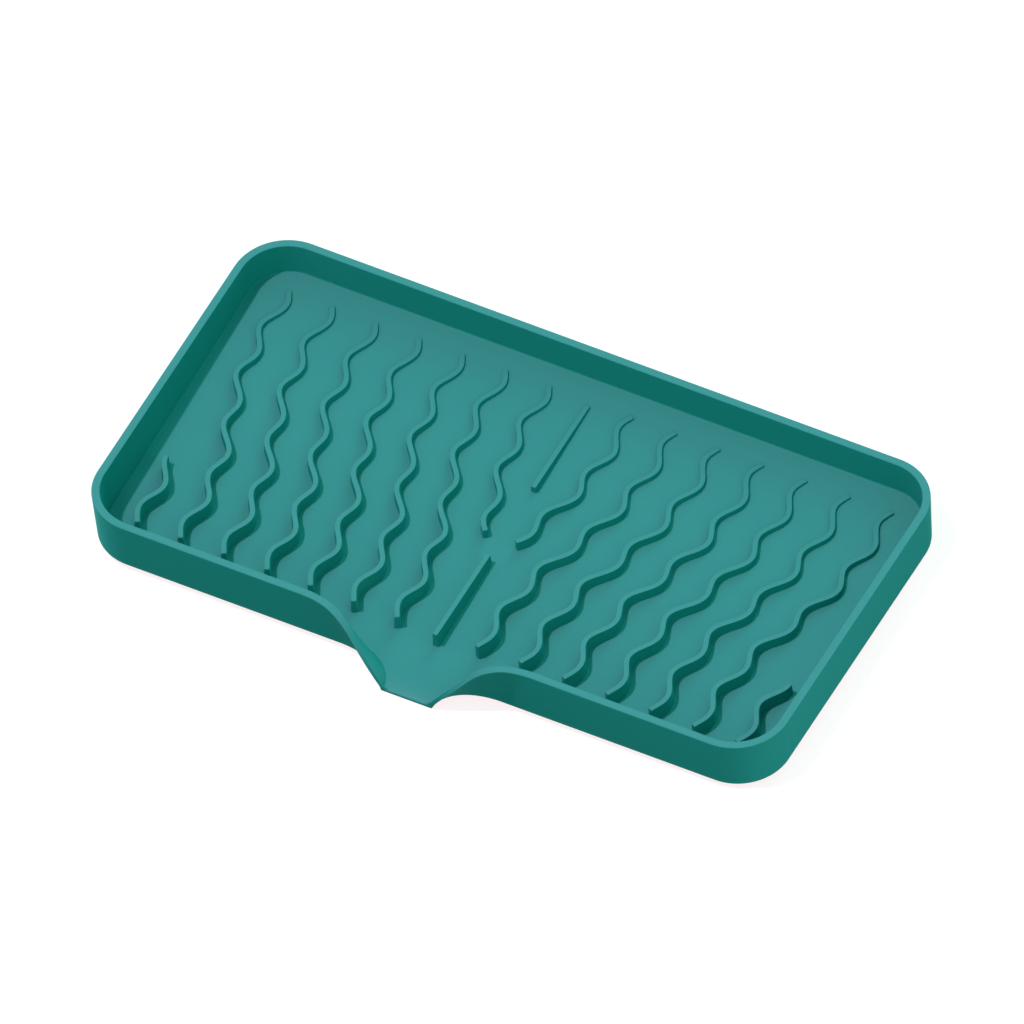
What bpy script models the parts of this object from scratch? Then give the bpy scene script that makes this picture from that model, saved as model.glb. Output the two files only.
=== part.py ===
"""Self-draining soap tray: one silicone moulding with wavy ribs, a sloping floor and a spout.

Lengths are in metres and +Z is up. The origin is the centre of the flat base plane. +X runs along
the tray, and the spout points to -Y.
"""

import math

import bmesh
import bpy
from mathutils import Vector

# Tray: outside size, wall and corners
TRAY_LENGTH = 0.2400
TRAY_WIDTH = 0.1256
TRAY_HEIGHT = 0.0184
WALL = 0.0026
RIM_CORNER_RADIUS = 0.0176
FLOOR_CORNER_RADIUS = 0.0134
BASE_INSET = 0.0008
INNER_LEAN = math.radians(3.9)
CORNER_STEPS = 9
SAME_PLACE = 0.000002

# Floor: a plane that falls towards the spout, with its height given half way along the fall
FLOOR_MID_HEIGHT = 0.0042
FLOOR_FALL_RATIO = 0.0465

# Spout: the rim swings forward and dips to a lip that hangs below the base plane
SPOUT_STEPS = 16
STATION_SHARE = 0.6
SWING_START = 0.0400
SWING_END = 0.0042
SWING_REACH = 0.0094
DIP_ANGLE = math.radians(49.0)
DIP_RADIUS = 0.0160
LIP_HALF_WIDTH = 0.0088
LIP_CHANNEL_HALF_WIDTH = 0.0081
LIP_RIM_HEIGHT = -0.0009
LIP_BOTTOM_HEIGHT = -0.0024
LIP_EDGE_SETBACK = 0.0010
LIP_WALL = 0.0025
RIM_TURN_SHARE = 1.2
BASE_FLARE_START = 0.0280
FLOOR_FLARE_START = 0.0310
FLARE_SHARE = 1.9
CHUTE_LEAD = 0.0112
CHUTE_CURL = 3
UNDERSIDE_CURL = 1.3

# Ribs: level tops, standing on the sloping floor
RIB_TOP_HEIGHT = 0.00735
RIB_TOP_WIDTH = 0.00165
RIB_PITCH = 0.01508
RIB_SINK = 0.0007
RIB_DRAFT = math.radians(3.0)
RIB_WAVE_HEIGHT = 0.00191
RIB_WAVE_LENGTH = 0.0198
RIB_WAVE_ORIGIN = 0.0403
RIB_DRIFT = 0.0159
RIB_DRIFT_CENTRE = -0.0021
RIB_DRIFT_LENGTH = 0.0225
RIB_ROW_OFFSET = 0.0002
RIB_STRAIGHT_LENGTH = 0.0878
RIB_STRAIGHT_CENTRE = -0.0006
RIB_END_TURN = math.radians(5.2)
RIB_BACK_GAP = 0.0085
RIB_FRONT_GAP = 0.0088
RIB_SIDE_GAP = 0.0080
RIB_CENTRE_GAP = 0.0050
RIB_STEPS_PER_WAVE = 8
CENTRE_RIB_SETBACK = 0.0020
CENTRE_RIB_FRONT_GAP = 0.0075
CENTRE_RIB_OPEN_BACK = 0.0134
CENTRE_RIB_OPEN_FRONT = -0.0167

# Moulding pockets in the thick rear part of the underside
FLOOR_THICKNESS = 0.0020
POCKET_SKIRT = 0.0032
POCKET_FRONT = -0.0350
POCKET_PITCH = 0.0194
POCKET_WEB = 0.0020
CUT_OVERRUN = 0.0020

# Finish
SILICONE_COLOUR = (0.037, 0.270, 0.275, 1.0)
SILICONE_ROUGHNESS = 0.55

HALF_LENGTH = TRAY_LENGTH / 2
HALF_WIDTH = TRAY_WIDTH / 2
INNER_HALF_LENGTH = HALF_LENGTH - WALL
INNER_HALF_WIDTH = HALF_WIDTH - WALL


def rim_swing(x):
    """How far the rim's outer edge has swung forward at x."""
    share = min(1, max(0, (SWING_START - x) / (SWING_START - SWING_END)))
    return SWING_REACH * (1 - math.cos(math.pi * share)) / 2


def floor_plane(y):
    """Height of the floor's plane at y."""
    return FLOOR_MID_HEIGHT + FLOOR_FALL_RATIO * y


def lean_inset(y):
    """How far the leaning inner wall has come in where it meets the floor at y."""
    return (TRAY_HEIGHT - floor_plane(y)) * math.tan(INNER_LEAN)


LIP_FRONT = -HALF_WIDTH - rim_swing(LIP_HALF_WIDTH)
FLOOR_HALF_LENGTH = INNER_HALF_LENGTH - lean_inset(0)
FLOOR_BACK = INNER_HALF_WIDTH - lean_inset(INNER_HALF_WIDTH)
FLOOR_FRONT = -INNER_HALF_WIDTH + lean_inset(-INNER_HALF_WIDTH)
CHUTE_START = FLOOR_FRONT + CHUTE_LEAD
CHUTE_END = LIP_FRONT + LIP_EDGE_SETBACK


def floor_height(y):
    """Height of the floor at y: the plane, then a chute that curls down to the lip."""
    share = max(0, (CHUTE_START - y) / (CHUTE_START - CHUTE_END))
    return floor_plane(y) - (floor_plane(CHUTE_END) - LIP_RIM_HEIGHT) * share**CHUTE_CURL


def underside_height(y):
    """Height of the underside at y: the base plane, then a slope down to the lip's bottom edge."""
    base_front = -HALF_WIDTH + BASE_INSET
    share = max(0, (base_front - y) / (base_front - LIP_FRONT))
    return LIP_BOTTOM_HEIGHT * share**UNDERSIDE_CURL


def corners(half_length, back, front, radius):
    """Plan points of the two right corners, from the back side round to the front side."""
    points = []
    for centre_y, start in ((back - radius, math.pi / 2), (front + radius, 0)):
        for step in range(CORNER_STEPS + 1):
            angle = start - math.pi / 2 * step / CORNER_STEPS
            x = half_length - radius + radius * math.cos(angle)
            points.append((x, centre_y + radius * math.sin(angle)))
    return points


def rim_point(x):
    """The outer edge of the rim at x, from the straight front side to the end of the lip."""
    corner_x = LIP_HALF_WIDTH + (TRAY_HEIGHT - LIP_RIM_HEIGHT) / math.tan(DIP_ANGLE)
    tangent = DIP_RADIUS * math.tan(DIP_ANGLE / 2)
    from_start = corner_x + tangent - x
    if from_start <= 0:
        z = TRAY_HEIGHT
    elif from_start < DIP_RADIUS * math.sin(DIP_ANGLE):
        z = TRAY_HEIGHT - DIP_RADIUS + math.sqrt(DIP_RADIUS**2 - from_start**2)
    else:
        z = LIP_RIM_HEIGHT + (x - LIP_HALF_WIDTH) * math.tan(DIP_ANGLE)
    return Vector((x, -HALF_WIDTH - rim_swing(x), z))


def rim_face(x):
    """From the rim's outer edge to its inner edge at x: it turns from level to upright."""
    corner_x = LIP_HALF_WIDTH + (TRAY_HEIGHT - LIP_RIM_HEIGHT) / math.tan(DIP_ANGLE)
    dip_start = corner_x + DIP_RADIUS * math.tan(DIP_ANGLE / 2)
    share = min(1, max(0, (dip_start - x) / (dip_start - LIP_HALF_WIDTH)))
    turn = math.pi / 2 * share**RIM_TURN_SHARE
    rise = min(LIP_WALL * math.sin(turn), TRAY_HEIGHT - rim_point(x).z)
    return Vector((0, WALL * math.cos(turn), rise))


def flare_point(share, start_x, start_y, end_x, end_y):
    """Plan point on the quarter ellipse that the wall's foot follows from the front side to the lip."""
    angle = math.pi / 2 * share**FLARE_SHARE
    x = start_x - (start_x - end_x) * math.sin(angle)
    return x, end_y + (start_y - end_y) * math.cos(angle)


def station_shares():
    """Shares of the way round the spout at which it is modelled, closer together towards the lip."""
    return [(step / SPOUT_STEPS) ** STATION_SHARE for step in range(SPOUT_STEPS + 1)]


def base_outline():
    """Right half of the foot's outer edge."""
    inset_width = HALF_WIDTH - BASE_INSET
    radius = RIM_CORNER_RADIUS - BASE_INSET
    plan = corners(HALF_LENGTH - BASE_INSET, inset_width, -inset_width, radius)
    for share in station_shares():
        plan.append(flare_point(share, BASE_FLARE_START, -inset_width, LIP_HALF_WIDTH, LIP_FRONT))
    outline = [Vector((x, y, underside_height(y))) for x, y in plan]
    return outline + [outline[-1].copy()]


def rim_stations():
    """Places in x at which the spout's rim is modelled."""
    return [SWING_START - (SWING_START - LIP_HALF_WIDTH) * share for share in station_shares()]


def outer_rim_outline():
    """Right half of the rim's outer edge. Its last point is the lip's bottom corner."""
    plan = corners(HALF_LENGTH, HALF_WIDTH, -HALF_WIDTH, RIM_CORNER_RADIUS)
    outline = [Vector((x, y, TRAY_HEIGHT)) for x, y in plan]
    outline += [rim_point(x) for x in rim_stations()]
    return outline + [base_outline()[-1]]


def inner_rim_outline():
    """Right half of the rim's inner edge. Its last point is the lip's top corner."""
    radius = RIM_CORNER_RADIUS - WALL
    plan = corners(INNER_HALF_LENGTH, INNER_HALF_WIDTH, -INNER_HALF_WIDTH, radius)
    outline = [Vector((x, y, TRAY_HEIGHT)) for x, y in plan]
    outline += [rim_point(x) + rim_face(x) for x in rim_stations()]
    return outline + [floor_outline()[-1]]


def floor_outline():
    """Right half of the edge where the inner wall meets the floor."""
    plan = corners(FLOOR_HALF_LENGTH, FLOOR_BACK, FLOOR_FRONT, FLOOR_CORNER_RADIUS)
    for share in station_shares():
        end = (LIP_CHANNEL_HALF_WIDTH, CHUTE_END)
        plan.append(flare_point(share, FLOOR_FLARE_START, FLOOR_FRONT, *end))
    outline = [Vector((x, y, floor_height(y))) for x, y in plan]
    return outline + [outline[-1].copy()]


def mirrored(point):
    """The same point on the left half."""
    return Vector((-point.x, point.y, point.z))


def add_face(bm, corner_verts):
    """A face over the given vertices, leaving out repeated ones; nothing where fewer than three differ."""
    distinct = []
    for vert in corner_verts:
        if all((vert.co - other.co).length > SAME_PLACE for other in distinct):
            distinct.append(vert)
    if len(distinct) > 2:
        bm.faces.new(distinct)


def add_cap(bm, right, left, flat_count):
    """Closes a mirrored outline: one face over its first points, then strips from side to side."""
    first = 0
    last = flat_count - 1
    while first < len(right) - 1:
        while last + 1 < len(right) and abs(right[last + 1].co.y - right[last].co.y) < SAME_PLACE:
            last += 1
        add_face(bm, right[first : last + 1] + left[first : last + 1][::-1])
        first = last
        last += 1


def new_object(name, bm):
    """An object that holds the mesh, with its faces pointing out."""
    bmesh.ops.recalc_face_normals(bm, faces=bm.faces)
    mesh = bpy.data.meshes.new(name)
    bm.to_mesh(mesh)
    bm.free()
    obj = bpy.data.objects.new(name, mesh)
    bpy.context.scene.collection.objects.link(obj)
    return obj


def as_helper(obj):
    """Marks the object as a cutter or a tool body, which isn't part of the tray."""
    obj.hide_render = True
    obj.display_type = "WIRE"
    return obj


def boolean(target, operation, tool):
    """Joins the tool to the target, or cuts the target with it."""
    modifier = target.modifiers.new(f"{operation.title()} {tool.name}", "BOOLEAN")
    modifier.operation = operation
    modifier.solver = "EXACT"
    modifier.object = tool


def make_shell():
    """The tray's walls, floor, rim and spout as one closed loft through four outlines."""
    bm = bmesh.new()
    outlines = (base_outline(), outer_rim_outline(), inner_rim_outline(), floor_outline())
    right = [[bm.verts.new(point) for point in outline] for outline in outlines]
    left = [[bm.verts.new(mirrored(point)) for point in outline] for outline in outlines]
    for lower in range(len(outlines) - 1):
        upper = lower + 1
        for side in (right, left):
            for first in range(len(outlines[lower]) - 1):
                ring = (side[lower][first], side[lower][first + 1])
                add_face(bm, (*ring, side[upper][first + 1], side[upper][first]))
        for end in (0, -1):
            ring = (right[lower][end], left[lower][end])
            add_face(bm, (*ring, left[upper][end], right[upper][end]))
    add_cap(bm, right[0], left[0], 2 * (CORNER_STEPS + 1))
    add_cap(bm, right[-1], left[-1], CORNER_STEPS + 2)
    bmesh.ops.remove_doubles(bm, verts=bm.verts, dist=SAME_PLACE)
    return new_object("soap_tray", bm)


def rib_path_x(row, y):
    """Centre line of a wavy rib: a wave on a smooth step towards the spout, turned a little at both ends."""
    drift = RIB_DRIFT * (1 - math.tanh((y - RIB_DRIFT_CENTRE) / RIB_DRIFT_LENGTH)) / 2
    wave = RIB_WAVE_HEIGHT * math.sin(2 * math.pi * (y - RIB_WAVE_ORIGIN) / RIB_WAVE_LENGTH)
    from_centre = y - RIB_STRAIGHT_CENTRE
    beyond = math.copysign(max(0, abs(from_centre) - RIB_STRAIGHT_LENGTH / 2), from_centre)
    return -row * RIB_PITCH + RIB_ROW_OFFSET + drift + wave + beyond * math.tan(RIB_END_TURN)


def wavy_rib_path(row, side):
    """Plan points of one wavy rib, back to front, kept clear of the centre rib and the side wall."""
    back = FLOOR_BACK - RIB_BACK_GAP
    front = FLOOR_FRONT + RIB_FRONT_GAP
    count = math.ceil((back - front) / RIB_WAVE_LENGTH * RIB_STEPS_PER_WAVE)
    path = []
    for step in range(count + 1):
        y = back + (front - back) * step / count
        x = rib_path_x(row, y)
        if x > -RIB_CENTRE_GAP:
            break
        if x < RIB_SIDE_GAP - FLOOR_HALF_LENGTH:
            path.clear()
        path.append(Vector((side * x, y)))
    return path


def rib_section(point, along):
    """Four corners of the rib's section at a point of its path, the lower two sunk in the floor."""
    across = Vector((along.y, -along.x)).normalized()
    bottom = floor_height(point.y) - RIB_SINK
    top_half = RIB_TOP_WIDTH / 2
    bottom_half = top_half + (RIB_TOP_HEIGHT - bottom) * math.tan(RIB_DRAFT)
    section = []
    for offset, z in (
        (-bottom_half, bottom),
        (bottom_half, bottom),
        (top_half, RIB_TOP_HEIGHT),
        (-top_half, RIB_TOP_HEIGHT),
    ):
        place = point + across * offset
        section.append(Vector((place.x, place.y, z)))
    return section


def add_rib(bm, path):
    """A closed rib along the path, with ends cut square to it."""
    rings = []
    for index, point in enumerate(path):
        along = path[min(index + 1, len(path) - 1)] - path[max(index - 1, 0)]
        rings.append([bm.verts.new(corner) for corner in rib_section(point, along)])
    for ring, following in zip(rings, rings[1:]):
        for corner in range(len(ring)):
            nearby = (corner + 1) % len(ring)
            bm.faces.new((ring[corner], ring[nearby], following[nearby], following[corner]))
    bm.faces.new(rings[0])
    bm.faces.new(rings[-1])


def make_ribs():
    """All the ribs in one tool body: mirrored rows of wavy ones, and two straight ones on the centre."""
    bm = bmesh.new()
    row_count = round((FLOOR_HALF_LENGTH - RIB_SIDE_GAP + RIB_DRIFT) / RIB_PITCH)
    for row in range(1, row_count + 1):
        for side in (1, -1):
            path = wavy_rib_path(row, side)
            if len(path) > 1:
                add_rib(bm, path)
    straight_spans = (
        (FLOOR_BACK - RIB_BACK_GAP - CENTRE_RIB_SETBACK, CENTRE_RIB_OPEN_BACK),
        (CENTRE_RIB_OPEN_FRONT, FLOOR_FRONT + CENTRE_RIB_FRONT_GAP),
    )
    for back, front in straight_spans:
        add_rib(bm, [Vector((0, back)), Vector((0, front))])
    return as_helper(new_object("rib_bodies", bm))


def make_pocket_core():
    """The cutter for the underside: an inset outline under the floor, slit by the webs that stay."""
    bm = bmesh.new()
    reach = HALF_WIDTH - BASE_INSET - POCKET_SKIRT
    half_length = HALF_LENGTH - BASE_INSET - POCKET_SKIRT
    radius = RIM_CORNER_RADIUS - BASE_INSET - POCKET_SKIRT
    plan = corners(half_length, reach, POCKET_FRONT, min(radius, (reach - POCKET_FRONT) / 2))
    plan += [(-x, y) for x, y in reversed(plan)]
    top = [bm.verts.new((x, y, floor_plane(y) - FLOOR_THICKNESS)) for x, y in plan]
    bottom = [bm.verts.new((x, y, -CUT_OVERRUN)) for x, y in plan]
    bm.faces.new(top)
    bm.faces.new(bottom)
    for index in range(len(plan)):
        nearby = (index + 1) % len(plan)
        bm.faces.new((top[index], top[nearby], bottom[nearby], bottom[index]))
    core = as_helper(new_object("pocket_core", bm))
    boolean(core, "DIFFERENCE", make_webs(half_length, reach))
    return core


def make_webs(half_length, reach):
    """Upright webs between the pockets, one of them on the centre line."""
    bm = bmesh.new()
    count = int(half_length / POCKET_PITCH)
    length = reach - POCKET_FRONT + 2 * CUT_OVERRUN
    height = TRAY_HEIGHT + 2 * CUT_OVERRUN
    for index in range(-count, count + 1):
        if abs(index * POCKET_PITCH) + POCKET_PITCH / 2 > half_length:
            continue
        made = bmesh.ops.create_cube(bm, size=1)
        bmesh.ops.scale(bm, vec=(POCKET_WEB, length, height), verts=made["verts"])
        place = (index * POCKET_PITCH, (reach + POCKET_FRONT) / 2, 0)
        bmesh.ops.translate(bm, vec=place, verts=made["verts"])
    return as_helper(new_object("web_bodies", bm))


def silicone():
    """Matte teal silicone."""
    material = bpy.data.materials.new("teal_silicone")
    material.use_nodes = True
    shader = material.node_tree.nodes["Principled BSDF"]
    shader.inputs["Base Color"].default_value = SILICONE_COLOUR
    shader.inputs["Roughness"].default_value = SILICONE_ROUGHNESS
    shader.inputs["Metallic"].default_value = 0
    material.diffuse_color = SILICONE_COLOUR
    return material


def clear_scene():
    """Removes every object of the open scene."""
    for obj in list(bpy.data.objects):
        bpy.data.objects.remove(obj, do_unlink=True)


def main():
    clear_scene()
    tray = make_shell()
    boolean(tray, "UNION", make_ribs())
    boolean(tray, "DIFFERENCE", make_pocket_core())
    tray.data.materials.append(silicone())
    tray.data.shade_smooth()
    tray.data.set_sharp_from_angle(angle=math.radians(30))


main()
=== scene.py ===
"""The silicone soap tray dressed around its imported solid.

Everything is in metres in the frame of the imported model: +X runs along the tray, the spout points
to -Y and +Z is up. The tray is one moulding, so all its pieces ride on the one body.
"""

import logging
import math
from dataclasses import dataclass
from enum import Enum

import bmesh
import bpy
from mathutils import Matrix, Vector


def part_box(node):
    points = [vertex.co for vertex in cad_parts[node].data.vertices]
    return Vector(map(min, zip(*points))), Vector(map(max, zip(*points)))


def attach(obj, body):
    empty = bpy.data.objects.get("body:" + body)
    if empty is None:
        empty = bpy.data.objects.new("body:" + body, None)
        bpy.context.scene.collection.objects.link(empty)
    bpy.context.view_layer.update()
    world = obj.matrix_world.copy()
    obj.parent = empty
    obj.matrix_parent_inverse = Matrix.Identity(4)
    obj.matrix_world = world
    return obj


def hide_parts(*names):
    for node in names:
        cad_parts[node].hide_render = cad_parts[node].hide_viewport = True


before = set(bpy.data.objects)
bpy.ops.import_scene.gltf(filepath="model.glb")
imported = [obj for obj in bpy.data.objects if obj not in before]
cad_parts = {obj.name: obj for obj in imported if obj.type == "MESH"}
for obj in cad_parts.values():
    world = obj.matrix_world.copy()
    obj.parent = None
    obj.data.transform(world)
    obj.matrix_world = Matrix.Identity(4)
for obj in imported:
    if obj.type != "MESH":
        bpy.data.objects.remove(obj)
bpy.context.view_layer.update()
NODE = "soap_tray"
SLOT = "teal_silicone"
# The mesh attribute that carries painted sheen: how much paler a point is drawn where light falls
# on it from above.
PAINTED_SHEEN = "painted_sheen"
# Points that are closer than this count as one.
SAME_PLACE = 0.000002
# The largest share of a side that the arc at one of its ends takes up.
MOST_OF_SIDE = 0.45
QUARTER_TURN = math.pi / 2

log = logging.getLogger("soap_tray_scene")


class Side(Enum):
    """The two mirrored halves of the tray, with what X of the left half is multiplied by."""

    LEFT = 1
    RIGHT = -1


def rounded(
    before: Vector, corner: Vector, after: Vector, radius: float, steps: int
) -> list[Vector]:
    """Rounds one corner of a section with an arc.

    Args:
        before: The point that comes before the corner.
        corner: The sharp corner.
        after: The point that comes after it.
        radius: Radius of the arc, which gets smaller where the sides are too short for it.
        steps: How many straight pieces the arc has.

    Returns:
        The points of the arc, from the side of before to the side of after.
    """
    to_before = before - corner
    to_after = after - corner
    half_angle = to_before.angle(to_after) / 2
    longest = MOST_OF_SIDE * min(to_before.length, to_after.length)
    reach = min(radius / math.tan(half_angle), longest)
    to_before.normalize()
    to_after.normalize()
    centre = corner + (to_before + to_after).normalized() * reach / math.cos(half_angle)
    start = corner + to_before * reach - centre
    end = corner + to_after * reach - centre
    points = []
    for step in range(steps + 1):
        spoke = start.lerp(end, step / steps).normalized() * start.length
        points.append(centre + spoke)
    return points


def bridged(
    bm: bmesh.types.BMesh, sections: list[list[Vector]], ring: bool, around: bool
) -> list[list[bmesh.types.BMVert]]:
    """Draws sections as chains of edges and bridges each one to the next.

    Args:
        bm: The mesh that gets them.
        sections: The points of every section, all with the same count.
        ring: Whether each section is a closed loop.
        around: Whether the last section is bridged to the first one.

    Returns:
        The vertices of every section.
    """
    rows = [[bm.verts.new(point) for point in section] for section in sections]
    chains = []
    for row in rows:
        ends = row[1:] + row[:1] if ring else row[1:]
        chains.append([bm.edges.new(pair) for pair in zip(row, ends)])
    following = chains[1:] + chains[:1] if around else chains[1:]
    for chain, other in zip(chains, following):
        bmesh.ops.bridge_loops(bm, edges=chain + other)
    return rows


def filled(bm: bmesh.types.BMesh, loop: list[bmesh.types.BMVert]) -> None:
    """Closes a loop of vertices with one face."""
    edges = [bm.edges.get(pair) for pair in zip(loop, loop[1:] + loop[:1])]
    bmesh.ops.contextual_create(bm, geom=edges)


def placed(name: str, bm: bmesh.types.BMesh) -> bpy.types.Object:
    """Turns a bmesh into an object with smooth faces that point outwards.

    Args:
        name: Name of the piece.
        bm: Its mesh, which is freed.

    Returns:
        The new object, linked to the scene.
    """
    bmesh.ops.recalc_face_normals(bm, faces=bm.faces)
    mesh = bpy.data.meshes.new(name)
    bm.to_mesh(mesh)
    bm.free()
    mesh.shade_smooth()
    piece = bpy.data.objects.new(name, mesh)
    bpy.context.scene.collection.objects.link(piece)
    return piece


def cut(target: bpy.types.Object, cutter: bpy.types.Object) -> None:
    """Cuts a mesh with another one and removes the cutter.

    Args:
        target: The object whose mesh gets the cut.
        cutter: The object that is cut away.
    """
    modifier = target.modifiers.new("cut", "BOOLEAN")
    modifier.operation = "DIFFERENCE"
    modifier.solver = "EXACT"
    modifier.object = cutter
    depsgraph = bpy.context.evaluated_depsgraph_get()
    target.data = bpy.data.meshes.new_from_object(target.evaluated_get(depsgraph))
    target.modifiers.clear()
    bpy.data.objects.remove(cutter)


@dataclass(frozen=True)
class TrayForm:
    """Sizes and curves that the shell and the ribs share. They repeat the solid's own."""

    half_length: float
    lip_bottom: float
    height: float = 0.0184
    half_width: float = 0.0628
    wall: float = 0.0026
    inner_lean: float = math.radians(3.9)
    rim_radius: float = 0.0176
    floor_radius: float = 0.0134
    base_inset: float = 0.0008
    floor_mid: float = 0.0042
    floor_fall: float = 0.0465
    swing_start: float = 0.0400
    swing_end: float = 0.0042
    swing_reach: float = 0.0094
    dip_angle: float = math.radians(49.0)
    dip_radius: float = 0.0160
    lip_half_width: float = 0.0088
    channel_half_width: float = 0.0081
    lip_rim: float = -0.0009
    lip_setback: float = 0.0010
    lip_wall: float = 0.0025
    rim_turn_share: float = 1.2
    base_flare_start: float = 0.0280
    floor_flare_start: float = 0.0310
    flare_share: float = 1.9
    chute_lead: float = 0.0112
    chute_curl: float = 3
    underside_curl: float = 1.3

    @property
    def inner_half_length(self) -> float:
        """Half the length between the inner edges of the rim."""
        return self.half_length - self.wall

    @property
    def inner_half_width(self) -> float:
        """Half the width between the inner edges of the rim."""
        return self.half_width - self.wall

    @property
    def floor_half_length(self) -> float:
        """Half the length of the floor."""
        return self.inner_half_length - self.lean_inset(0)

    @property
    def floor_back(self) -> float:
        """Y of the floor's back edge."""
        return self.inner_half_width - self.lean_inset(self.inner_half_width)

    @property
    def floor_front(self) -> float:
        """Y of the floor's straight front edge."""
        return -self.inner_half_width + self.lean_inset(-self.inner_half_width)

    @property
    def base_half_width(self) -> float:
        """Half the width of the foot."""
        return self.half_width - self.base_inset

    @property
    def lip_front(self) -> float:
        """Y of the lip's front edge."""
        return -self.half_width - self.rim_swing(self.lip_half_width)

    @property
    def chute_start(self) -> float:
        """Y at which the floor starts to curl down to the lip."""
        return self.floor_front + self.chute_lead

    @property
    def chute_end(self) -> float:
        """Y at which the floor ends at the lip."""
        return self.lip_front + self.lip_setback

    @property
    def dip_start(self) -> float:
        """X at which the rim starts to dip to the lip."""
        corner_x = self.lip_half_width + (self.height - self.lip_rim) / math.tan(self.dip_angle)
        return corner_x + self.dip_radius * math.tan(self.dip_angle / 2)

    def floor_plane(self, y: float) -> float:
        """Height of the floor's plane at y."""
        return self.floor_mid + self.floor_fall * y

    def lean_inset(self, y: float) -> float:
        """How far the leaning inner wall has come in where it meets the floor at y."""
        return (self.height - self.floor_plane(y)) * math.tan(self.inner_lean)

    def floor_height(self, y: float) -> float:
        """Finds the height of the floor.

        Args:
            y: Place across the tray.

        Returns:
            Height on the plane, or in the chute that curls down from it.
        """
        share = max(0, (self.chute_start - y) / (self.chute_start - self.chute_end))
        fall = self.floor_plane(self.chute_end) - self.lip_rim
        return self.floor_plane(y) - fall * share**self.chute_curl

    def underside_height(self, y: float) -> float:
        """Height of the underside at y, on the base plane or on the slope under the lip."""
        share = (-self.base_half_width - y) / (-self.base_half_width - self.lip_front)
        return self.lip_bottom * max(0, share) ** self.underside_curl

    def rim_swing(self, x: float) -> float:
        """How far the rim's outer edge has swung forward at x."""
        share = min(1, max(0, (self.swing_start - x) / (self.swing_start - self.swing_end)))
        return self.swing_reach * (1 - math.cos(math.pi * share)) / 2

    def rim_point(self, x: float) -> Vector:
        """Finds the rim's outer edge beside the spout.

        Args:
            x: Distance from the centre plane.

        Returns:
            The point on the flat rim, on the arc where it dips, or on the slope down to the lip.
        """
        from_start = self.dip_start - x
        if from_start <= 0:
            z = self.height
        elif from_start < self.dip_radius * math.sin(self.dip_angle):
            z = self.height - self.dip_radius + math.sqrt(self.dip_radius**2 - from_start**2)
        else:
            z = self.lip_rim + (x - self.lip_half_width) * math.tan(self.dip_angle)
        return Vector((x, -self.half_width - self.rim_swing(x), z))

    def rim_face(self, x: float) -> Vector:
        """Finds how the rim's face lies beside the spout.

        Args:
            x: Distance from the centre plane.

        Returns:
            The way from the outer edge to the inner one. It turns from level to upright.
        """
        share = min(1, max(0, (self.dip_start - x) / (self.dip_start - self.lip_half_width)))
        turn = QUARTER_TURN * share**self.rim_turn_share
        rise = min(self.lip_wall * math.sin(turn), self.height - self.rim_point(x).z)
        return Vector((0, self.wall * math.cos(turn), rise))


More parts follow.
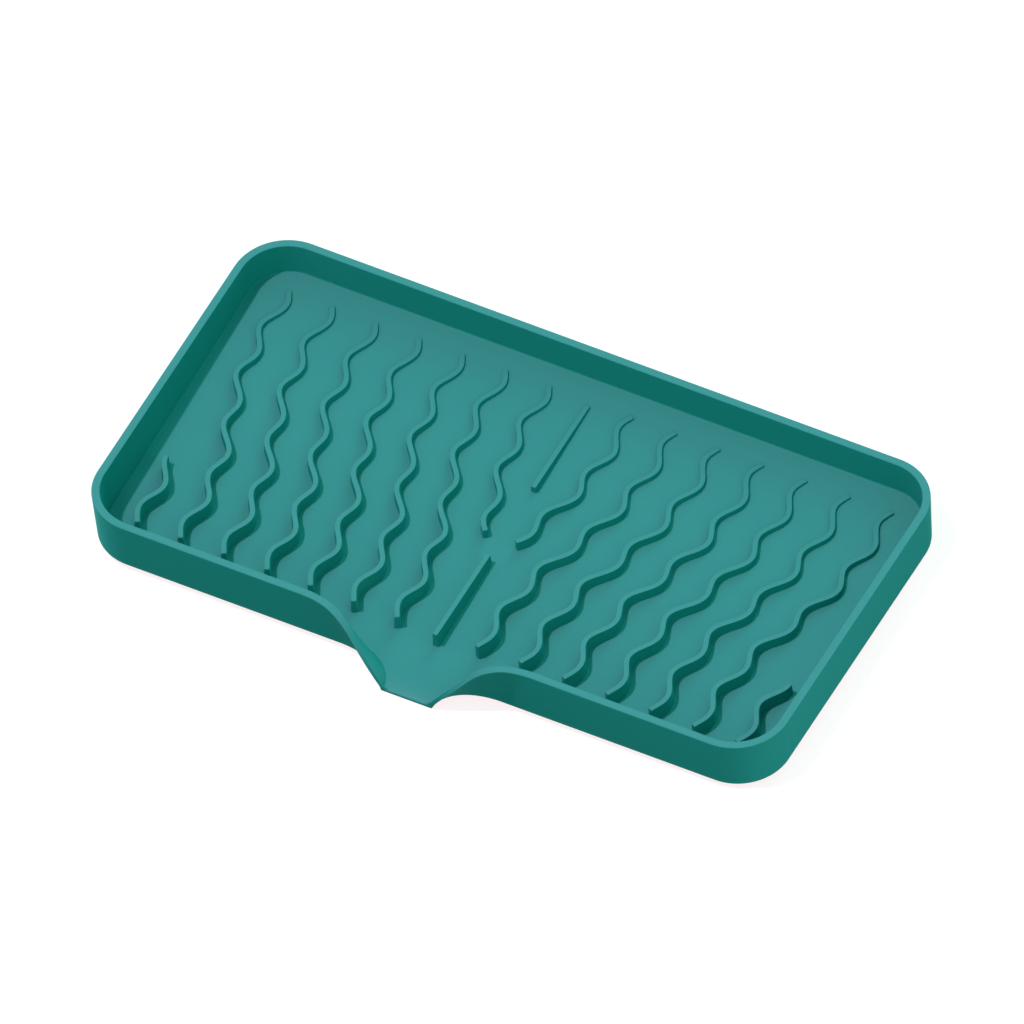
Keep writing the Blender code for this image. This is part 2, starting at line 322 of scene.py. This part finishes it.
@dataclass(frozen=True)
class Silicone:
    """Matte, pigmented silicone with a faint moulded grain, and a painted sheen: a paler colour on
    its upward faces that stands in for light.
    """

    name: str = SLOT
    colour: tuple[float, float, float] = (0.017, 0.256, 0.242)
    # Paler colour of the painted sheen, mixed in where faces look up: painted light, not the
    # silicone's own colour.
    painted_sheen_colour: tuple[float, float, float] = (0.066, 0.276, 0.290)
    roughness: float = 0.62
    roughness_spread: float = 0.06
    specular_level: float = 0.012
    cloud_scale: float = 28.0
    cloud_detail: float = 3.0
    cloud_depth: float = 0.06
    grain_scale: float = 2600.0
    grain_detail: float = 2.0
    grain_height: float = 0.000006

    def material(self) -> bpy.types.Material:
        """Builds the procedural material on Object coordinates.

        Returns:
            The finished material.
        """
        material = bpy.data.materials.new(self.name)
        material.use_nodes = True
        material.diffuse_color = (*self.colour, 1)
        tree = material.node_tree
        shader = tree.nodes["Principled BSDF"]
        shader.inputs["Specular IOR Level"].default_value = self.specular_level
        place = tree.nodes.new("ShaderNodeTexCoord")
        cloud = tree.nodes.new("ShaderNodeTexNoise")
        cloud.inputs["Scale"].default_value = self.cloud_scale
        cloud.inputs["Detail"].default_value = self.cloud_detail
        grain = tree.nodes.new("ShaderNodeTexNoise")
        grain.inputs["Scale"].default_value = self.grain_scale
        grain.inputs["Detail"].default_value = self.grain_detail
        painted_sheen = tree.nodes.new("ShaderNodeAttribute")
        painted_sheen.attribute_name = PAINTED_SHEEN
        shift = tree.nodes.new("ShaderNodeMapRange")
        shift.inputs["To Min"].default_value = -self.cloud_depth
        shift.inputs["To Max"].default_value = self.cloud_depth
        amount = tree.nodes.new("ShaderNodeMath")
        amount.operation = "ADD"
        # Mixes in the painted sheen from the attribute, together with the real random cloudy tone.
        tint = tree.nodes.new("ShaderNodeMix")
        tint.data_type = "RGBA"
        tint.clamp_factor = False
        tint.inputs["A"].default_value = (*self.colour, 1)
        tint.inputs["B"].default_value = (*self.painted_sheen_colour, 1)
        sheen = tree.nodes.new("ShaderNodeMapRange")
        sheen.inputs["To Min"].default_value = self.roughness - self.roughness_spread
        sheen.inputs["To Max"].default_value = self.roughness + self.roughness_spread
        bump = tree.nodes.new("ShaderNodeBump")
        bump.inputs["Strength"].default_value = 1
        bump.inputs["Distance"].default_value = self.grain_height
        link = tree.links.new
        link(place.outputs["Object"], cloud.inputs["Vector"])
        link(place.outputs["Object"], grain.inputs["Vector"])
        link(cloud.outputs["Fac"], shift.inputs["Value"])
        link(painted_sheen.outputs["Fac"], amount.inputs[0])
        link(shift.outputs["Result"], amount.inputs[1])
        link(amount.outputs["Value"], tint.inputs["Factor"])
        link(tint.outputs["Result"], shader.inputs["Base Color"])
        link(cloud.outputs["Fac"], sheen.inputs["Value"])
        link(sheen.outputs["Result"], shader.inputs["Roughness"])
        link(grain.outputs["Fac"], bump.inputs["Height"])
        link(bump.outputs["Normal"], shader.inputs["Normal"])
        return material


@dataclass(frozen=True)
class TrayShell:
    """Walls, rim, floor, spout and lip, lofted from sections round the tray."""

    form: TrayForm
    corner_steps: int = 28
    spout_steps: int = 60
    station_share: float = 0.6
    nose_steps: int = 6
    edge_steps: int = 4
    base_round: float = 0.0005
    outer_round: float = 0.00025
    inner_round: float = 0.00025
    foot_round: float = 0.0004
    inboard: float = 0.0012
    nose_half_width: float = 0.0062
    nose_end_shift: float = 0.0028
    nose_outer: float = -0.0011
    nose_inner: float = -0.0009
    nose_lean: float = 0.0009
    floor_thickness: float = 0.0020
    pocket_skirt: float = 0.0032
    pocket_front: float = -0.0350
    pocket_pitch: float = 0.0194
    pocket_web: float = 0.0020
    cut_overrun: float = 0.0020

    def corners(self, half_length: float, back: float, front: float, radius: float) -> list[Vector]:
        """Rounds the two right corners of a plan outline.

        Args:
            half_length: X of the outline's right side.
            back: Y of its back side.
            front: Y of its front side.
            radius: Radius of the corners.

        Returns:
            Points from the back side round to the front side, at z zero.
        """
        sharp = Vector((half_length, back, 0)), Vector((half_length, front, 0))
        back_middle, front_middle = Vector((0, back, 0)), Vector((0, front, 0))
        points = []
        for before, corner, after in ((back_middle, *sharp), (*sharp, front_middle)):
            start = corner + (before - corner).normalized() * radius
            centre = start + (after - corner).normalized() * radius
            turn = -QUARTER_TURN / self.corner_steps
            for step in range(self.corner_steps + 1):
                points.append(centre + Matrix.Rotation(turn * step, 3, "Z") @ (start - centre))
        return points

    def shares(self) -> list[float]:
        """Shares of the way round the spout at which it has a section, closer towards the lip."""
        steps = range(self.spout_steps + 1)
        return [(step / self.spout_steps) ** self.station_share for step in steps]

    def flare(self, start_x: float, start_y: float, end_x: float, end_y: float) -> list[Vector]:
        """Follows the wall's foot from the straight front side to the lip.

        Args:
            start_x: X at which it leaves the front side.
            start_y: Y of the front side.
            end_x: X of its end at the lip.
            end_y: Y of its end at the lip.

        Returns:
            Points of a quarter ellipse, at z zero.
        """
        points = []
        for share in self.shares():
            angle = QUARTER_TURN * share**self.form.flare_share
            x = start_x - (start_x - end_x) * math.sin(angle)
            points.append(Vector((x, end_y + (start_y - end_y) * math.cos(angle), 0)))
        return points

    def base_line(self) -> list[Vector]:
        """Follows the foot's outer edge.

        Returns:
            Its right half, from the back corner to the lip.
        """
        form = self.form
        half = form.base_half_width
        half_length = form.half_length - form.base_inset
        plan = self.corners(half_length, half, -half, form.rim_radius - form.base_inset)
        plan += self.flare(form.base_flare_start, -half, form.lip_half_width, form.lip_front)
        return [Vector((p.x, p.y, form.underside_height(p.y))) for p in plan]

    def rim_lines(self) -> tuple[list[Vector], list[Vector]]:
        """Follows the rim's outer and inner edges.

        Returns:
            The right half of each, from the back corner to the lip.
        """
        form = self.form
        half, inner_half = form.half_width, form.inner_half_width
        inner_radius = form.rim_radius - form.wall
        outer = self.corners(form.half_length, half, -half, form.rim_radius)
        inner = self.corners(form.inner_half_length, inner_half, -inner_half, inner_radius)
        up = Vector((0, 0, form.height))
        outer = [point + up for point in outer]
        inner = [point + up for point in inner]
        for share in self.shares():
            x = form.swing_start - (form.swing_start - form.lip_half_width) * share
            outer.append(form.rim_point(x))
            inner.append(form.rim_point(x) + form.rim_face(x))
        return outer, inner

    def floor_line(self) -> list[Vector]:
        """Follows the edge where the inner wall meets the floor.

        Returns:
            Its right half, from the back corner to the lip.
        """
        form = self.form
        front = form.floor_front
        plan = self.corners(form.floor_half_length, form.floor_back, front, form.floor_radius)
        plan += self.flare(
            form.floor_flare_start, front, form.channel_half_width, form.chute_end
        )
        return [Vector((p.x, p.y, form.floor_height(p.y))) for p in plan]

    def lip_stations(self) -> list[list[Vector]]:
        """Carries the last section of the spout round into the lip's nose.

        Returns:
            Four corners a station: bottom edge, outer and inner edge of the rim, and floor edge.
        """
        form = self.form
        front = form.lip_front
        start_inner = form.rim_point(form.lip_half_width) + form.rim_face(form.lip_half_width)
        slope = math.tan(form.dip_angle)
        knee = form.lip_half_width - (start_inner.z - self.nose_inner) / slope
        mirrored = 2 * knee - form.lip_half_width
        end_x = min(self.nose_half_width, mirrored + self.nose_end_shift)
        stations = []
        for step in range(1, self.nose_steps + 1):
            share = step / self.nose_steps
            keep = (1 - share) ** 2
            turn = 2 * share * (1 - share)
            x = form.lip_half_width * keep + knee * turn + end_x * share**2
            inner_z = start_inner.z * keep + self.nose_inner * (turn + share**2)
            outer_z = form.lip_rim * keep + self.nose_outer * (turn + share**2)
            floor_x = form.channel_half_width + (end_x - form.channel_half_width) * share
            stations.append(
                [
                    Vector((x, front, form.lip_bottom)),
                    Vector((x, front, outer_z)),
                    Vector((x, front + self.nose_lean * share, inner_z)),
                    Vector((floor_x, form.chute_end, form.floor_height(form.chute_end))),
                ]
            )
        return stations

    def stations(self) -> list[list[Vector]]:
        """Gathers the stations round the right half of the tray and its lip.

        Returns:
            Four corners a station: bottom edge, outer and inner edge of the rim, and floor edge.
        """
        outer, inner = self.rim_lines()
        stations = [list(four) for four in zip(self.base_line(), outer, inner, self.floor_line())]
        return stations + self.lip_stations()

    def inboard_point(self, line: list[Vector], index: int) -> Vector:
        """Finds a point beside a line of stations, towards the middle of the tray.

        Args:
            line: The line, from the back corner to the lip.
            index: Which of its points is meant.

        Returns:
            That point moved inwards in plan, square to the line, and not past the lip's row.
        """
        corner = len(line) - 1 - self.nose_steps
        beside_lip = line[-1].y + self.inboard
        if index > corner:
            share = 1 - self.inboard / line[corner].x
            return Vector((line[index].x * share, beside_lip, 0))
        along = line[min(index + 1, corner)] - line[max(index - 1, 0)]
        inwards = Vector((along.y, -along.x, 0)).normalized() * self.inboard
        return Vector((line[index].x + inwards.x, max(line[index].y + inwards.y, beside_lip), 0))

    def sections(self) -> list[list[Vector]]:
        """Rounds the four edges of every station.

        Returns:
            One chain of points a station, from the underside round the rim to the floor.
        """
        form = self.form
        stations = self.stations()
        base = [station[0] for station in stations]
        floor = [station[3] for station in stations]
        rounds = self.base_round, self.outer_round, self.inner_round, self.foot_round
        sections = []
        for index, station in enumerate(stations):
            under = self.inboard_point(base, index)
            under.z = form.underside_height(under.y)
            inside = self.inboard_point(floor, index)
            inside.z = form.floor_height(inside.y)
            line = [under, *station, inside]
            section = [under]
            for corner, radius in enumerate(rounds, start=1):
                section += rounded(*line[corner - 1 : corner + 2], radius, self.edge_steps)
            sections.append([*section, inside])
        return sections

    def pocket_cutter(self) -> bpy.types.Object:
        """Builds the cutter for the moulding pockets under the thick rear part of the floor.

        Returns:
            One object: an inset slab under the floor, slit where the webs stay.
        """
        form = self.form
        reach = form.base_half_width - self.pocket_skirt
        half_length = form.half_length - form.base_inset - self.pocket_skirt
        radius = form.rim_radius - form.base_inset - self.pocket_skirt
        right = self.corners(half_length, reach, self.pocket_front, radius)
        plan = right + [Vector((-p.x, p.y, 0)) for p in reversed(right)]
        bm = bmesh.new()
        loop = [bm.verts.new(point) for point in plan]
        for pair in zip(loop, loop[1:] + loop[:1]):
            bm.edges.new(pair)
        filled(bm, loop)
        raised = bmesh.ops.extrude_face_region(bm, geom=bm.faces[:])
        for vert in raised["geom"]:
            if isinstance(vert, bmesh.types.BMVert):
                vert.co.z = form.floor_plane(vert.co.y) - self.floor_thickness
        bmesh.ops.translate(bm, vec=(0, 0, -self.cut_overrun), verts=loop)
        core = placed("pocket_core", bm)
        bm = bmesh.new()
        count = int((half_length - self.pocket_pitch / 2) / self.pocket_pitch)
        length = reach - self.pocket_front + 2 * self.cut_overrun
        for index in range(-count, count + 1):
            web = bmesh.ops.create_cube(bm, size=1)["verts"]
            bmesh.ops.scale(bm, vec=(self.pocket_web, length, 2 * form.height), verts=web)
            middle = (reach + self.pocket_front) / 2
            bmesh.ops.translate(bm, vec=(index * self.pocket_pitch, middle, 0), verts=web)
        cut(core, placed("pocket_webs", bm))
        return core

    def build(self) -> bpy.types.Object:
        """Builds the shell.

        Returns:
            One closed mesh.
        """
        right = self.sections()
        back_middle = [Vector((0, point.y, point.z)) for point in right[0]]
        front_middle = [Vector((0, point.y, point.z)) for point in right[-1]]
        left = [[Vector((-p.x, p.y, p.z)) for p in section] for section in reversed(right)]
        bm = bmesh.new()
        sections = [back_middle, *right, front_middle, *left]
        rows = bridged(bm, sections, ring=False, around=True)
        for end, bend in ((0, -self.form.base_half_width), (-1, self.form.chute_start)):
            loop = [row[end] for row in rows]
            filled(bm, loop)
            front = loop[len(right) + 1].co.y
            for index in range(1, len(right) + 1):
                pair = [loop[index], loop[-index]]
                if front + SAME_PLACE < pair[0].co.y < bend - SAME_PLACE:
                    bmesh.ops.connect_verts(bm, verts=pair)
        shell = placed("tray_shell", bm)
        cut(shell, self.pocket_cutter())
        return shell


@dataclass(frozen=True)
class DrainRibs:
    """Level-topped ribs on the sloping floor: mirrored wavy rows and two straight ones between."""

    form: TrayForm
    top_height: float = 0.00735
    top_width: float = 0.00165
    pitch: float = 0.01508
    sink: float = 0.0004
    draft: float = math.radians(3.0)
    top_round: float = 0.00012
    root_round: float = 0.00008
    end_round: float = 0.00030
    wave_height: float = 0.00191
    wave_length: float = 0.0198
    wave_origin: float = 0.0403
    drift: float = 0.0159
    drift_centre: float = -0.0021
    drift_length: float = 0.0225
    row_offset: float = 0.0002
    straight_length: float = 0.0878
    straight_centre: float = -0.0006
    end_turn: float = math.radians(5.2)
    back_gap: float = 0.0085
    front_gap: float = 0.0088
    side_gap: float = 0.0080
    centre_gap: float = 0.0050
    steps_per_wave: int = 22
    fewest_points: int = 3
    edge_steps: int = 3
    centre_setback: float = 0.0020
    centre_front_gap: float = 0.0075
    centre_open_back: float = 0.0134
    centre_open_front: float = -0.0167

    def path_x(self, row: int, y: float) -> float:
        """Finds the centre line of a wavy rib: a wave on a smooth step, turned at both ends.

        Args:
            row: Row of the rib, counted from the centre at the back.
            y: Place along the rib.

        Returns:
            X of the rib in the left half.
        """
        drift = self.drift * (1 - math.tanh((y - self.drift_centre) / self.drift_length)) / 2
        wave = self.wave_height * math.sin(2 * math.pi * (y - self.wave_origin) / self.wave_length)
        from_centre = y - self.straight_centre
        beyond = math.copysign(max(0, abs(from_centre) - self.straight_length / 2), from_centre)
        return -row * self.pitch + self.row_offset + drift + wave + beyond * math.tan(self.end_turn)

    def wavy_path(self, row: int, side: Side) -> list[Vector]:
        """Follows one wavy rib, clear of the centre rib and the side wall.

        Args:
            row: Row of the rib, counted from the centre at the back.
            side: The half of the tray that it stands in.

        Returns:
            Plan points from back to front, none where the row runs outside the floor.
        """
        back = self.form.floor_back - self.back_gap
        front = self.form.floor_front + self.front_gap
        count = math.ceil((back - front) / self.wave_length * self.steps_per_wave)
        path = []
        for step in range(count + 1):
            y = back + (front - back) * step / count
            x = self.path_x(row, y)
            if x > -self.centre_gap:
                break
            if x < self.side_gap - self.form.floor_half_length:
                path.clear()
            path.append(Vector((side.value * x, y, 0)))
        return path

    def section(self, point: Vector, along: Vector, inset: float) -> list[Vector]:
        """Draws the rib's section at one point of its path.

        Args:
            point: The point in plan.
            along: The way the path runs there.
            inset: How much smaller the section is, near the rib's rounded ends.

        Returns:
            A closed loop with rounded top edges and soft roots that end in the floor.
        """
        across = Vector((along.y, -along.x, 0)).normalized()
        floor = self.form.floor_height(point.y)
        top = max(self.top_height - inset, floor)
        half = self.top_width / 2 - inset
        foot = half + (top - floor) * math.tan(self.draft)
        toe = foot + 2 * self.root_round
        outline = [
            (-toe, floor - self.sink),
            (-toe, floor - SAME_PLACE),
            (-foot, floor),
            (-half, top),
            (half, top),
            (foot, floor),
            (toe, floor - SAME_PLACE),
            (toe, floor - self.sink),
        ]
        line = [point + across * offset + Vector((0, 0, z)) for offset, z in outline]
        section = line[:2]
        for corner in range(2, 6):
            radius = self.root_round if corner in (2, 5) else self.top_round
            section += rounded(*line[corner - 1 : corner + 2], radius, self.edge_steps)
        return section + line[6:]

    def add_rib(self, bm: bmesh.types.BMesh, path: list[Vector]) -> None:
        """Adds one closed rib along its path, with softly rounded ends.

        Args:
            bm: The mesh of all ribs.
            path: Plan points of the rib from back to front.
        """
        sections = []
        last = len(path) - 1
        for index, point in enumerate(path):
            along = (path[min(index + 1, last)] - path[max(index - 1, 0)]).normalized()
            here = [self.section(point, along, 0)]
            for step in range(1, self.edge_steps + 1):
                angle = QUARTER_TURN * step / self.edge_steps
                beyond = along * self.end_round * math.sin(angle)
                inset = self.end_round * (1 - math.cos(angle))
                if index == 0:
                    here.insert(0, self.section(point - beyond, along, inset))
                elif index == last:
                    here.append(self.section(point + beyond, along, inset))
            sections += here
        rows = bridged(bm, sections, ring=True, around=False)
        filled(bm, rows[0])
        filled(bm, rows[-1])

    def build(self) -> bpy.types.Object:
        """Builds all ribs as one piece.

        Returns:
            A mesh of closed ribs.
        """
        form = self.form
        bm = bmesh.new()
        row_count = round((form.floor_half_length - self.side_gap + self.drift) / self.pitch)
        for row in range(1, row_count + 1):
            for side in Side:
                path = self.wavy_path(row, side)
                if len(path) >= self.fewest_points:
                    self.add_rib(bm, path)
        back = form.floor_back - self.back_gap - self.centre_setback
        front = form.floor_front + self.centre_front_gap
        for start, end in ((back, self.centre_open_back), (self.centre_open_front, front)):
            middle = (start + end) / 2
            self.add_rib(bm, [Vector((0, y, 0)) for y in (start, middle, end)])
        return placed("drain_ribs", bm)


@dataclass(frozen=True)
class SoapTray:
    """The whole moulding: shell and ribs in one silicone."""

    form: TrayForm
    finish: Silicone = Silicone()
    sharp_angle: float = math.radians(40)
    # Painted sheen: the floor's share, the painted highlight along the lip, and how it fades with
    # slope and height.
    floor_painted_sheen: float = 0.66
    lip_painted_highlight: float = 0.60
    lip_highlight_fade: float = 10
    sheen_slope_fade: float = 2
    raised_from: float = 0.0003
    full_height: float = 0.0040

    def add_painted_sheen(self, mesh: bpy.types.Mesh) -> None:
        """Paints sheen by how far each point faces up: more on raised tops than on the
        painted-shaded floor, and a painted highlight along the lip.

        Args:
            mesh: The mesh that gets the attribute.
        """
        form = self.form
        painted_sheen = mesh.attributes.new(PAINTED_SHEEN, "FLOAT", "POINT")
        for vert in mesh.vertices:
            share = (form.chute_start - vert.co.y) / (form.chute_start - form.chute_end)
            most = self.floor_painted_sheen + self.lip_painted_highlight * min(1, max(0, share)) ** self.lip_highlight_fade
            rise = vert.co.z - form.floor_height(vert.co.y)
            # Raised tops are painted paler than the floor, standing in for the shade that walls and
            # ribs cast on the floor.
            if rise > self.raised_from:
                most += (1 - self.floor_painted_sheen) * min(1, rise / self.full_height)
            painted_sheen.data[vert.index].value = most * max(0, vert.normal.z) ** self.sheen_slope_fade

    def dress(self, piece: bpy.types.Object, material: bpy.types.Material) -> None:
        """Gives a piece its finish, its painted sheen and its place in the frame.

        Args:
            piece: The finished mesh object.
            material: The silicone.
        """
        piece.data.materials.clear()
        piece.data.materials.append(material)
        piece.data.shade_smooth()
        piece.data.set_sharp_from_angle(angle=self.sharp_angle)
        self.add_painted_sheen(piece.data)
        modifier = piece.modifiers.new("even_shading", "WEIGHTED_NORMAL")
        modifier.keep_sharp = True
        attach(piece, "root")
        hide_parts(NODE)
        log.info("%s: %d faces", piece.name, len(piece.data.polygons))

    def build(self) -> None:
        """Builds and dresses the shell and the ribs."""
        material = self.finish.material()
        for part in (TrayShell(self.form), DrainRibs(self.form)):
            self.dress(part.build(), material)


@dataclass(frozen=True)
class Lamp:
    """A distant studio lamp. Without a colour of its own it is a cool fill light."""

    name: str
    towards: tuple[float, float, float]
    strength: float
    spread: float
    colour: tuple[float, float, float] = (0.20, 1.00, 0.86)

    def build(self) -> None:
        """Hangs the lamp in its direction, so that it lights the whole stage evenly."""
        light = bpy.data.lights.new(self.name, "SUN")
        light.energy = self.strength
        light.angle = math.radians(self.spread)
        light.color = self.colour
        lamp = bpy.data.objects.new(self.name, light)
        lamp.rotation_mode = "QUATERNION"
        lamp.rotation_quaternion = Vector(self.towards).to_track_quat("Z", "Y")
        lamp.location = Vector(self.towards).normalized()
        bpy.context.scene.collection.objects.link(lamp)


@dataclass(frozen=True)
class StripLamp:
    """A long, low lamp that stands at one end of the tray and lights its wall."""

    name: str
    distance: float
    forward: float
    power: float
    level: float = 0.006
    length: float = 0.8
    width: float = 0.010
    colour: tuple[float, float, float] = (1.70, 1.00, 1.03)

    def build(self) -> None:
        """Stands the lamp at its place, facing the tray and unseen by the camera."""
        light = bpy.data.lights.new(self.name, "AREA")
        light.shape = "RECTANGLE"
        light.size = self.width
        light.size_y = self.length
        light.energy = self.power
        light.color = self.colour
        lamp = bpy.data.objects.new(self.name, light)
        lamp.location = (self.distance, -self.forward, self.level)
        lamp.rotation_euler = (0, math.copysign(QUARTER_TURN, self.distance), 0)
        lamp.visible_camera = False
        bpy.context.scene.collection.objects.link(lamp)


@dataclass(frozen=True)
class Studio:
    """Plain pale floor, soft lamps and a pale surround."""

    form: TrayForm
    floor_reach: float = 3.0
    floor_gap: float = 0.00002
    floor_grey: float = 0.10
    floor_white: tuple[float, float, float] = (0.10, 0.30, 0.30)
    floor_lift: tuple[float, float, float] = (0.94, 0.80, 0.815)
    world_level: float = 0.50
    world_tint: tuple[float, float, float] = (0.25, 1.00, 0.85)
    lamps: tuple[Lamp | StripLamp, ...] = (
        Lamp(
            name="key_lamp",
            towards=(-0.31, -0.20, 1.0),
            strength=1.34,
            spread=3.0,
            colour=(1.62, 1.00, 1.13),
        ),
        Lamp(name="back_low_lamp", towards=(0.0, 1.0, 0.21), strength=1.25, spread=30.0),
        Lamp(name="back_lamp", towards=(0.0, 1.0, 0.70), strength=0.52, spread=30.0),
        Lamp(name="front_lamp", towards=(0.2, -1.0, 0.50), strength=0.22, spread=40.0),
        Lamp(name="right_lamp", towards=(1.0, -0.15, 0.60), strength=0.34, spread=40.0),
        StripLamp(name="right_strip", distance=0.42, forward=0.26, power=0.70),
        StripLamp(name="left_strip", distance=-0.42, forward=-0.15, power=1.50),
    )

    def floor(self) -> None:
        """Lays the floor under the tray's back edge and the lip, on which it rests."""
        form = self.form
        bm = bmesh.new()
        bmesh.ops.create_grid(bm, x_segments=1, y_segments=1, size=self.floor_reach)
        run = form.base_half_width - form.lip_front
        tilt = math.atan(-form.lip_bottom / run)
        bmesh.ops.rotate(bm, matrix=Matrix.Rotation(tilt, 3, "X"), verts=bm.verts)
        drop = form.base_half_width * math.tan(tilt) + self.floor_gap
        bmesh.ops.translate(bm, vec=(0, 0, -drop), verts=bm.verts)
        floor = placed("studio_floor", bm)
        floor.data.materials.append(self.floor_material())

    def shown_rays(self, tree: bpy.types.NodeTree) -> bpy.types.NodeSocket:
        """Finds the rays that show the background: seen, mirrored or let through.

        Args:
            tree: The node tree that gets the nodes.

        Returns:
            A socket that is 1 for these rays and 0 for those that only carry light.
        """
        rays = tree.nodes.new("ShaderNodeLightPath")
        shown = rays.outputs["Is Camera Ray"]
        for kind in ("Is Glossy Ray", "Is Transmission Ray"):
            either = tree.nodes.new("ShaderNodeMath")
            either.operation = "MAXIMUM"
            tree.links.new(shown, either.inputs[0])
            tree.links.new(rays.outputs[kind], either.inputs[1])
            shown = either.outputs["Value"]
        return shown

    def floor_material(self) -> bpy.types.Material:
        """Mixes a white floor for the view with a grey one for the light that it throws back.

        The white one glows most of its light, and its paint makes up for the lamps' colours, so
        that the tray's shadow on it is faint and grey.

        Returns:
            The floor's material.
        """
        material = bpy.data.materials.new("studio_floor")
        material.use_nodes = True
        tree = material.node_tree
        tree.nodes.clear()
        seen = tree.nodes.new("ShaderNodeBsdfDiffuse")
        seen.inputs["Color"].default_value = (*self.floor_white, 1)
        lift = tree.nodes.new("ShaderNodeEmission")
        lift.inputs["Color"].default_value = (*self.floor_lift, 1)
        white = tree.nodes.new("ShaderNodeAddShader")
        grey = tree.nodes.new("ShaderNodeBsdfDiffuse")
        grey.inputs["Color"].default_value = (self.floor_grey,) * 3 + (1,)
        either = tree.nodes.new("ShaderNodeMixShader")
        out = tree.nodes.new("ShaderNodeOutputMaterial")
        link = tree.links.new
        link(seen.outputs["BSDF"], white.inputs[0])
        link(lift.outputs["Emission"], white.inputs[1])
        link(self.shown_rays(tree), either.inputs["Fac"])
        link(grey.outputs["BSDF"], either.inputs[1])
        link(white.outputs["Shader"], either.inputs[2])
        link(either.outputs["Shader"], out.inputs["Surface"])
        return material

    def surround(self) -> None:
        """Makes the world white to the view and a soft, cool light to the tray."""
        world = bpy.data.worlds.new("studio_surround")
        world.use_nodes = True
        bpy.context.scene.world = world
        tree = world.node_tree
        shown = tree.nodes["Background"]
        shown.inputs["Color"].default_value = (1, 1, 1, 1)
        soft = tree.nodes.new("ShaderNodeBackground")
        soft.inputs["Color"].default_value = (*self.world_tint, 1)
        soft.inputs["Strength"].default_value = self.world_level
        either = tree.nodes.new("ShaderNodeMixShader")
        link = tree.links.new
        link(self.shown_rays(tree), either.inputs["Fac"])
        link(soft.outputs["Background"], either.inputs[1])
        link(shown.outputs["Background"], either.inputs[2])
        link(either.outputs["Shader"], tree.nodes["World Output"].inputs["Surface"])

    def build(self) -> None:
        """Sets up the floor, the surround and the lamps."""
        self.floor()
        self.surround()
        for lamp in self.lamps:
            lamp.build()
        bpy.context.scene.view_settings.view_transform = "Standard"


@dataclass(frozen=True)
class PhotoCamera:
    """A parallel camera at the photograph's angle."""

    azimuth: float = math.radians(32.058)
    elevation: float = math.radians(49.99)
    roll: float = math.radians(-5.524)
    view_width: float = 0.31464
    right_offset: float = -0.000818
    up_offset: float = 0.006198
    distance: float = 1.0

    def build(self) -> None:
        """Places the camera and makes it the scene's own."""
        level = Vector((math.cos(self.azimuth), math.sin(self.azimuth), 0))
        rise = Vector(
            (
                -math.sin(self.azimuth) * math.sin(self.elevation),
                math.cos(self.azimuth) * math.sin(self.elevation),
                math.cos(self.elevation),
            )
        )
        right = level * math.cos(self.roll) + rise * math.sin(self.roll)
        up = rise * math.cos(self.roll) - level * math.sin(self.roll)
        back = right.cross(up)
        data = bpy.data.cameras.new("photo_camera")
        data.type = "ORTHO"
        data.ortho_scale = self.view_width
        camera = bpy.data.objects.new("photo_camera", data)
        turned = Matrix((right, up, back)).transposed().to_4x4()
        place = right * self.right_offset + up * self.up_offset + back * self.distance
        camera.matrix_world = Matrix.Translation(place) @ turned
        bpy.context.scene.collection.objects.link(camera)
        bpy.context.scene.camera = camera


def packed_form() -> TrayForm:
    """Takes the length and the lip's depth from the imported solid."""
    low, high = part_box(NODE)
    return TrayForm(half_length=high.x, lip_bottom=low.z)


def main() -> None:
    """Builds the tray, the studio and the camera in order."""
    logging.basicConfig(level=logging.INFO, format="%(name)s: %(message)s")
    form = packed_form()
    SoapTray(form).build()
    Studio(form).build()
    PhotoCamera().build()


if __name__ == "__main__":
    main()
